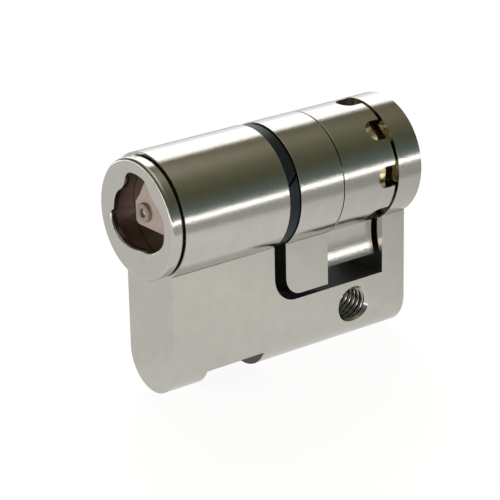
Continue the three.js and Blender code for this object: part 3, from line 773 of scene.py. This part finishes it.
def make_shell():
    shell, clip, ring = at["core_shell"], at["retaining_clip"], at["o_ring"]
    bar, key = at["side_bar"], at["drive_key"]
    head_front, bay_front = shell.y0 + 0.63, -27.1
    groove_half = 0.35
    profile = [
        (CAVITY_R, shell.y0, 0.04),
        (NOSE_R, shell.y0, 0.06),
        (NOSE_R, head_front),
        (HEAD_R, head_front, 0.1),
        (HEAD_R, ring.y - groove_half, 0.03),
        (ORING_FLOOR, ring.y - groove_half, 0.05),
        (ORING_FLOOR, ring.y + groove_half, 0.05),
        (HEAD_R, ring.y + groove_half, 0.03),
        (HEAD_R, HEAD_REAR, 0.1),
        (CORE_R, HEAD_REAR),
        (CORE_R, clip.y0 - RUN, 0.03),
        (CLIP_FLOOR, clip.y0 - RUN),
        (CLIP_FLOOR, clip.y1 + RUN),
        (CORE_R, clip.y1 + RUN, 0.03),
        (CORE_R, shell.y1, 0.08),
        (BAY_R, shell.y1, 0.08),
        (BAY_R, bay_front, 0.05),
        (CAVITY_R, bay_front),
    ]
    half = bar.z1 + 0.08
    slot = block((-CORE_R - 1, bar.y0 - RUN, -half), (-4, bar.y1 + RUN, half))
    keyway = block((key.x0 - SEAT, key.y0 - SEAT, KEY_FLOOR), (key.x1 + SEAT, key.y1 + SEAT, CORE_R + 1))
    cross = rod_x(TAIL_PIN_HOLE_R, -CORE_R - 1, CORE_R + 1, at["tail_pin"].y)
    place(cut(lathe(profile, steps=3), slot, keyway, cross), "core_shell", "shell_nickel")
    section = ring.y1 - ring.y
    centre = ring.x1 - section
    circle = arc(centre, ring.y, section, 0, 345, 23)
    place(lathe(circle), "o_ring")


def make_guard():
    plate, boss = at["guard_disc"], at["contact_insulator"]
    balls = [f"guard_ball_{i}" for i in range(1, 5)]
    hole = disc(boss.r + SEAT, plate.y0 - 1, plate.y1 + 1, 0, MEDIUM, boss.x, boss.z)
    pockets = [disc(at[b].r + RUN, plate.y0 - 1, plate.y1 + 1, 0, SMALL, at[b].x, at[b].z) for b in balls]
    place(bevel(cut(disc(plate.x1, plate.y0, plate.y1, 0, MEDIUM), hole, *pockets), 0.06), "guard_disc")
    for ball in balls:
        sphere = at[ball]
        half_turn = [(sphere.r * c, sphere.y + sphere.r * s) for c, s in arc(0, 0, 1, -90, 90, 24)]
        place(lathe([(abs(r), y) for r, y in half_turn], SMALL, sphere.x, sphere.z), ball)


def make_tail():
    tail, pin, keeper = at["core_tail"], at["index_pin"], at["index_pin_keeper"]
    ring = at["index_ring"]
    shoulder, rear = ring.y0 - 0.18, ring.y1 - RUN
    profile = [
        (0, tail.y0),
        (BAY_R - RUN, tail.y0, 0.12),
        (BAY_R - RUN, shoulder),
        (CORE_R, shoulder, 0.08),
        (CORE_R, rear, 0.1),
        (3, rear),
        (3, tail.y1, 0.2),
        (0, tail.y1),
    ]
    pin_bore = rod_x(pin.r + RUN, -CORE_R - 1, -0.6, pin.y)
    cross = rod_x(TAIL_PIN_HOLE_R, -CORE_R - 1, CORE_R + 1, at["tail_pin"].y)
    keeper_hole = disc(keeper.r + SEAT, 1.9, rear + 1, 0, SMALL, keeper.x, keeper.z)
    place(cut(lathe(profile), pin_bore, cross, keeper_hole, *dimple_cutters()), "core_tail")
    cross_pin = at["tail_pin"]
    place(rod_x(cross_pin.r, cross_pin.x0, cross_pin.x1, cross_pin.y, 0, 0.15, SMALL), "tail_pin")
    slot_outer = keeper.x0 - joints["index_pin_press"]["range_m"][1] / MM - 0.07
    slot = block((slot_outer, pin.y - 2, keeper.z0 - RUN), (keeper.x1 + 0.07, pin.y + 2, 2))
    place(bevel(cut(rod_x(pin.r, pin.x0, pin.x1, pin.y, 0, 0, MEDIUM), slot), 0.12), "index_pin")
    place(disc(keeper.r, keeper.y0, keeper.y1, 0.08, SMALL, keeper.x, keeper.z), "index_pin_keeper")


# ---------------------------------------------------------------- electronics and solenoid


def make_electronics():
    carrier, board, can = at["chassis"], at["circuit_board"], at["solenoid_can"]
    floor_top = -3.5
    floor = block((-2.6, carrier.y0, carrier.z0), (2.6, carrier.y1, floor_top))
    wall = block((carrier.x0, carrier.y0, -3.9), (carrier.x1, carrier.y0 + 0.5, carrier.z1))
    cradle = block((-1.5, can.y0 + 1, -3.6), (1.5, can.y1 - 1, -can.r - RUN))
    seats = []
    for spring in (at["side_bar_spring_1"], at["side_bar_spring_2"]):
        low, high = (spring.x1 + 0.05, spring.y - 0.9, -3.6), (spring.x1 + 0.45, spring.y + 0.9, 1.2)
        seats.append(block(low, high))
    place(bevel(join(floor, wall, cradle, *seats), 0.08), "chassis")
    vias = [rod_z(0.18, board.z0 - 1, board.z1 + 1, y, 0, 12) for y in (-22.6, -16.4, -11.8)]
    vias = [shifted(via, x) for via, x in zip(vias, (2.6, -2.4, 2.2))]
    place(bevel(cut(block(board.low, board.high), *vias), 0.05), "circuit_board")
    for chip, pitch in (("control_chip", 0.5), ("memory_chip", 0.65)):
        body = at[chip]
        dot = rod_z(0.22, body.z1 - 0.06, body.z1 + 1, body.y0 + 0.5, 0, 24)
        place(bevel(cut(block(body.low, body.high), shifted(dot, body.x0 + 0.5)), 0.07), chip)
        dress(chip_legs(body, pitch, board.z1), f"{chip}_legs", "spring_steel")
        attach(bpy.data.objects[f"{chip}_legs"], "core")
    cap = at["capacitor"]
    place(bevel(block(cap.low, cap.high), 0.12), "capacitor")
    ends = []
    for y in (cap.y0 - 0.36, cap.y1 + 0.01):
        ends.append(block((cap.x0, y, board.z1), (cap.x1, y + 0.35, cap.z1 - 0.1)))
    dress(bevel(join(*ends), 0.08), "capacitor_ends", "spring_steel")
    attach(bpy.data.objects["capacitor_ends"], "core")


def chip_legs(body, pitch, base):
    """Two rows of bent legs, from the sides of a chip down to the board."""
    thick, foot = 0.12, 0.35
    middle = base + 0.4
    shape = [
        (body.x1 + 0.01, middle),
        (body.x1 + 0.25, middle),
        (body.x1 + 0.3, base + thick),
        (body.x1 + 0.3 + foot, base + thick),
        (body.x1 + 0.3 + foot, base),
        (body.x1 + 0.2, base),
        (body.x1 + 0.15, middle - thick),
        (body.x1 + 0.01, middle - thick),
    ]
    count = int((body.y1 - body.y0 - 0.3) / pitch)
    bm = bmesh.new()
    for side in (1, -1):
        outline = [(side * x, z) for x, z in shape][::side]
        for k in range(count):
            y = body.y + (k - (count - 1) / 2) * pitch
            leg = prism(outline, y - 0.11, y + 0.11)
            bm.from_mesh(leg.data)
            bpy.data.objects.remove(leg)
    return mesh_object(bm)


def make_solenoid():
    can, spool, coil = at["solenoid_can"], at["bobbin"], at["coil"]
    pole, plunger = at["pole_piece"], at["plunger"]
    bore, wall = plunger.r + 0.1, 0.4
    profile = [
        (bore, can.y0, 0.05),
        (can.r, can.y0, 0.15),
        (can.r, can.y1, 0.1),
        (can.r - wall, can.y1, 0.1),
        (can.r - wall, can.y0 + 0.5),
        (bore, can.y0 + 0.5),
    ]
    place(lathe(profile, MEDIUM), "solenoid_can")
    profile = [
        (bore, spool.y0),
        (spool.r, spool.y0, 0.05),
        (spool.r, spool.y0 + wall, 0.05),
        (1.8, spool.y0 + wall),
        (1.8, spool.y1 - wall),
        (spool.r, spool.y1 - wall, 0.05),
        (spool.r, spool.y1, 0.05),
        (bore, spool.y1),
    ]
    place(lathe(profile, MEDIUM), "bobbin")
    wire = 0.17
    turns = int((coil.y1 - coil.y0) / wire)
    step = (coil.y1 - coil.y0) / turns
    outside = [(coil.r - step / 2 + step / 2 * s, coil.y0 + step * (k + 0.5) - step / 2 * c)
               for k in range(turns) for c, s in arc(0, 0, 1, 18, 162, 4)]
    place(lathe([(1.82, coil.y0), *outside, (1.82, coil.y1)], MEDIUM), "coil")
    profile = [
        (0, pole.y0),
        (plunger.r, pole.y0, 0.1),
        (plunger.r, spool.y1 + RUN),
        (pole.r, spool.y1 + RUN, 0.05),
        (pole.r, pole.y1, 0.15),
        (0, pole.y1),
    ]
    place(lathe(profile, MEDIUM), "pole_piece")
    spring_floor = at["plunger_spring"].y0 - RUN
    profile = [
        (0, plunger.y0),
        (plunger.r, plunger.y0, 0.25),
        (plunger.r, plunger.y1, 0.1),
        (0.8, plunger.y1, 0.08),
        (0.8, spring_floor),
        (0, spring_floor),
    ]
    place(lathe(profile, MEDIUM), "plunger")


def make_side_bar():
    bar = at["side_bar"]
    inner, edge = -3.6, 0.4
    outline = [
        (inner, bar.z1),
        (bar.x0 + edge, bar.z1),
        (bar.x0, bar.z1 - edge),
        (bar.x0, bar.z0 + edge),
        (bar.x0 + edge, bar.z0),
        (inner, bar.z0),
    ]
    blade = prism(outline, bar.y0, bar.y1)
    tab = block((inner - 0.5, -19.6, -0.6), (bar.x1, -18.4, 0.6))
    place(bevel(join(blade, tab), 0.08, angle=30), "side_bar")


# ---------------------------------------------------------------- springs


def coil_spring(mean_r, wire_r, length, turns):
    """A compression spring along +Y from y = 0, with closed ends."""
    sides, per_turn, closed = 12, 24, 0.8
    closed_pitch = 2.1 * wire_r
    count = int(turns * per_turn)
    bm = bmesh.new()
    rings = []
    free = length - 2 * wire_r - 2 * closed * closed_pitch
    for i in range(count + 1):
        t = turns * i / count
        along = min(t, closed) + min(max(t - (turns - closed), 0), closed)
        y = wire_r + closed_pitch * along + free * min(max((t - closed) / (turns - 2 * closed), 0), 1)
        out = Vector((math.cos(2 * math.pi * t), 0, math.sin(2 * math.pi * t)))
        middle = out * mean_r + Vector((0, y, 0))
        ring = []
        for k in range(sides):
            c, s = math.cos(2 * math.pi * k / sides), math.sin(2 * math.pi * k / sides)
            ring.append(bm.verts.new(middle + out * (wire_r * c) + Vector((0, wire_r * s, 0))))
        rings.append(ring)
    for a, b in zip(rings, rings[1:]):
        for k in range(sides):
            n = (k + 1) % sides
            bm.faces.new((a[k], a[n], b[n], b[k]))
    bm.faces.new(rings[0])
    bm.faces.new(rings[-1][::-1])
    return mesh_object(bm)


def stand_in(thing, node):
    """A spring takes its node's place but isn't on one body: blend or squash says how it follows."""
    dress(thing, "fine_" + node, slot_of[node])
    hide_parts(node)
    return thing


def make_springs():
    along_x = Matrix.Rotation(math.radians(-90), 4, "Z")
    contact = at["contact_spring"]
    length = contact.y1 - contact.y0
    spring = shifted(coil_spring(0.7, 0.12, length, 5), contact.x, contact.y0, at["contact_pin"].z)
    place(spring, "contact_spring")
    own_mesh(spring)

    index = at["index_spring"]
    length = index.x1 - index.x0
    spring = moved(coil_spring(0.85, 0.11, length, 5), along_x)
    place(shifted(spring, index.x0, index.y), "index_spring")
    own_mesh(spring)

    plunger = at["plunger_spring"]
    spring = shifted(coil_spring(0.55, 0.1, plunger.y1 - plunger.y0, 9), 0, plunger.y0)
    stand_in(spring, "plunger_spring")
    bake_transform(spring)
    for node in ("side_bar_spring_1", "side_bar_spring_2"):
        side = at[node]
        spring = moved(coil_spring(0.5, 0.1, side.x1 - side.x0, 5), along_x)
        stand_in(shifted(spring, side.x0, side.y), node)
        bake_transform(spring)


# ---------------------------------------------------------------- rings

NOTCH_R = 1.5
NOTCH_TURNS = [0, 45, 90, 135, 225, 270, 315]
PIN_TURN = 90
LUG_WAIST_HALF = 3.3
LUG_WAIST_Z = -9.1
LUG_HOLLOW_R = 10.1
DIMPLE_R = 1.35
DIMPLE_DEPTH = 0.81
SEAM = 0.05


def dowel_holes():
    holes = []
    for node in ("ring_dowel_1", "ring_dowel_2"):
        dowel = at[node]
        holes.append(disc(dowel.r + SEAT, dowel.y0 - RUN, dowel.y1 + RUN, 0, SMALL, dowel.x, dowel.z))
    return holes


def make_clip():
    clip = at["retaining_clip"]
    ring = tube(CLIP_FLOOR + RUN, clip.x1, clip.y0, clip.y1, 0.2)
    split = block((4, -4, -0.16), (clip.x1 + 1, 4, 0.16))
    moved(split, Matrix.Rotation(math.radians(38), 4, "X"))
    place(bevel(cut(ring, swung(shifted(split, 0, clip.y), 20)), 0.05), "retaining_clip")


def make_cam():
    cam, key = at["cam_ring"], at["drive_key"]
    tip, rear = -cam.z0, cam.y1 - 0.1
    ring = disc(BARREL_R, cam.y0, cam.y1 - SEAM, 0.06)
    nose = lathe([(0, cam.y0), (tip, cam.y0, 2.5), (tip, rear), (0, rear)], FINE, steps=16)
    nose = common(nose, block((-LEG_HALF, cam.y0 - 1, -tip - 1), (LEG_HALF, cam.y1 + 1, -CORE_R - 0.4)))
    bevel(nose, 0.12, 3, 50)
    bore = disc(CORE_R + RUN, cam.y0 - 1, cam.y1 + 1)
    keyway = block((key.x0 - SEAT, cam.y0 - 1, 0), (key.x1 + SEAT, cam.y1 + 1, key.z1 + RUN))
    lines = junction_lines(cam.y0 - 1, cam.y1 + 1)
    place(cut(join(ring, nose), bore, keyway, *dowel_holes(), *lines), "cam_ring", "ring_nickel")
    place(bevel(block(key.low, key.high), 0.15), "drive_key")
    for node in ("ring_dowel_1", "ring_dowel_2"):
        dowel = at[node]
        place(disc(dowel.r, dowel.y0, dowel.y1, 0.12, SMALL, dowel.x, dowel.z), node)


def notch_cutters():
    ring, y = at["index_ring"], at["index_pin"].y + 0.15
    cutters = []
    for turn in NOTCH_TURNS:
        round_end = rod_z(NOTCH_R, CORE_R - 1, BARREL_R + 1, y)
        straight = block((-NOTCH_R, y, CORE_R - 1), (NOTCH_R, ring.y1 + 1, BARREL_R + 1))
        cutters.append(swung(join(round_end, straight), turn))
    return cutters


def dimple_cutters():
    """Drill points at the bottoms of the notches, except at the index pin's bore."""
    rise = 0.5
    wide = DIMPLE_R * (1 + rise / DIMPLE_DEPTH)
    cutters = []
    for turn in NOTCH_TURNS:
        if turn != PIN_TURN:
            cone = lathe([(0, CORE_R - DIMPLE_DEPTH), (wide, CORE_R + rise), (0, CORE_R + rise)], MEDIUM)
            cone = moved(cone, Matrix.Rotation(math.radians(90), 4, "X"))
            cutters.append(swung(shifted(cone, 0, at["index_pin"].y + 0.15), turn))
    return cutters


def make_index_ring():
    ring = at["index_ring"]
    tip = -ring.z0
    body = disc(BARREL_R, ring.y0 + SEAM, ring.y1, 0.08)
    lug = disc(tip, ring.y0, ring.y1)
    lug = common(lug, block((-LEG_HALF, ring.y0 - 1, -tip - 1), (LEG_HALF, ring.y1 + 1, -CORE_R - 0.4)))
    centre = LUG_WAIST_HALF + LUG_HOLLOW_R
    hollows = []
    for x in (centre, -centre):
        hollows.append(disc(LUG_HOLLOW_R, ring.y0 - 1, ring.y1 + 1, 0, 4 * FINE, x, LUG_WAIST_Z))
    bevel(cut(lug, *hollows), 0.12, 3, 40)
    bore = disc(CORE_R + RUN, ring.y0 - 1, ring.y1 + 1)
    place(cut(join(body, lug), bore, *notch_cutters(), *dowel_holes()), "index_ring", "ring_nickel")


make_housing()
make_cap()
make_seat()
make_contact()
make_shell()
make_guard()
make_tail()
make_electronics()
make_solenoid()
make_side_bar()
make_springs()
make_clip()
make_cam()
make_index_ring()

# ---------------------------------------------------------------- camera, light and floor

# The camera's direction from the lock and its roll in degrees, its place in metres, its lens in millimetres
BACK_AZ, BACK_EL, ROLL = 52.60, 20.88, -1.07
CAMERA_AT = (0.22389, -0.18259, 0.11811)
LENS = 162.8


def make_camera():
    data = bpy.data.cameras.new("camera")
    data.lens = LENS
    data.sensor_width = 36.0
    data.shift_x = -0.0271
    data.shift_y = -0.0172
    data.clip_start = 0.01
    data.clip_end = 50.0
    camera = bpy.data.objects.new("camera", data)
    a, e = math.radians(BACK_AZ), math.radians(BACK_EL)
    back = Vector((math.sin(a) * math.cos(e), -math.cos(a) * math.cos(e), math.sin(e)))
    right = Vector((math.cos(a), math.sin(a), 0))
    up = back.cross(right)
    c, s = math.cos(math.radians(ROLL)), math.sin(math.radians(ROLL))
    right, up = c * right + s * up, -s * right + c * up
    turn = Matrix((right, up, back)).transposed()
    camera.matrix_world = Matrix.Translation(CAMERA_AT) @ turn.to_4x4()
    bpy.context.scene.collection.objects.link(camera)
    bpy.context.scene.camera = camera


def make_floor():
    """A round white table top, set off centre so that its edge lies a little to the right of the lock."""
    reach, near, white = 0.4, 0.058, 0.92
    bm = bmesh.new()
    bmesh.ops.create_circle(bm, cap_ends=True, segments=128, radius=reach)
    bmesh.ops.translate(bm, vec=(-0.82 * (reach - near), -0.57 * (reach - near), 0), verts=bm.verts)
    floor = mesh_object(bm)
    floor.name = "floor"
    floor.location = (0, 0, cad_box[0][2] - 0.0002)
    look = Look("floor")
    look.shader.inputs["Roughness"].default_value = 0.9
    look.shader.inputs["Base Color"].default_value = (0.16, 0.16, 0.155, 1)
    look.shader.inputs["Emission Color"].default_value = (1, 1, 1, 1)
    x, y = look.places()[:2]
    to_the_right = look.spread(x, 0, 1, -0.01, 0)
    behind = look.spread(y, 0.09, -0.1, 0, 0.03)
    glow = look.math("ADD", look.math("MULTIPLY", to_the_right, behind), 0.67)
    seen = look.node("ShaderNodeLightPath").outputs["Is Camera Ray"]
    strength = look.math("MAXIMUM", glow, look.math("MULTIPLY", seen, white))
    look.link(strength, look.shader.inputs["Emission Strength"])
    floor.data.materials.append(look.material)


def make_world():
    """A studio: a tall white wall at the back left, a dim room elsewhere, a bright line at table height."""
    world = bpy.data.worlds.new("studio")
    world.use_nodes = True
    tree = world.node_tree
    background = tree.nodes["Background"]

    def node(kind, **settings):
        made = tree.nodes.new(kind)
        for key, value in settings.items():
            setattr(made, key, value)
        return made

    def span(value, low, high, start, end):
        made = node("ShaderNodeMapRange")
        tree.links.new(value, made.inputs["Value"])
        for name, number in (("From Min", low), ("From Max", high), ("To Min", start), ("To Max", end)):
            made.inputs[name].default_value = number
        return made.outputs[0]

    def by_height(height, stops):
        """A colour ramp over the sine of the elevation, from straight down to straight up."""
        made = node("ShaderNodeValToRGB")
        tree.links.new(span(height, -1, 1, 0, 1), made.inputs[0])
        elements = made.color_ramp.elements
        elements.remove(elements[1])
        elements[0].position = (stops[0][0] + 1) / 2
        elements[0].color = (*stops[0][1], 1)
        for sine, colour in stops[1:]:
            elements.new((sine + 1) / 2).color = (*colour, 1)
        return made.outputs[0]

    def mix(factor, a, b):
        made = node("ShaderNodeMix", data_type="RGBA")
        for socket, value in ((made.inputs[0], factor), (made.inputs[6], a), (made.inputs[7], b)):
            if isinstance(value, bpy.types.NodeSocket):
                tree.links.new(value, socket)
            else:
                socket.default_value = value
        return made.outputs[2]

    direction = node("ShaderNodeTexCoord").outputs["Generated"]
    parts = node("ShaderNodeSeparateXYZ")
    tree.links.new(direction, parts.inputs[0])
    across, along, height = parts.outputs
    below = (0.44, 0.45, 0.42)
    lamp = (2.0, 2.0, 2.0)
    room = by_height(
        height,
        [
            (-0.06, below),
            (-0.045, (4.5, 4.5, 4.5)),
            (0.0, (4.5, 4.5, 4.5)),
            (0.015, (0.34, 0.37, 0.37)),
            (0.20, (0.14, 0.18, 0.17)),
            (0.34, (0.115, 0.14, 0.105)),
            (0.52, (0.10, 0.105, 0.07)),
            (0.72, (0.155, 0.155, 0.10)),
            (0.80, (0.215, 0.20, 0.135)),
            (1.0, (0.8, 0.8, 0.75)),
        ],
    )
    paint = (1.05, 1.08, 1.18), (1.1, 1.12, 1.2)
    wall = by_height(height, [(-0.02, below), (0.02, paint[0]), (0.24, paint[1]), (0.32, lamp)])
    to_the_left = mix(span(across, -0.40, -0.44, 0, 1), (0, 0, 0, 1), (1, 1, 1, 1))
    left_and_back = mix(span(along, -0.1, 0.1, 0, 1), (0, 0, 0, 1), to_the_left)
    lit = mix(left_and_back, room, wall)
    camera_ray = node("ShaderNodeLightPath").outputs["Is Camera Ray"]
    tree.links.new(mix(camera_ray, lit, (1, 1, 1, 1)), background.inputs["Color"])
    bpy.context.scene.world = world


make_camera()
make_floor()
make_world()
bpy.context.scene.view_settings.view_transform = "Standard"
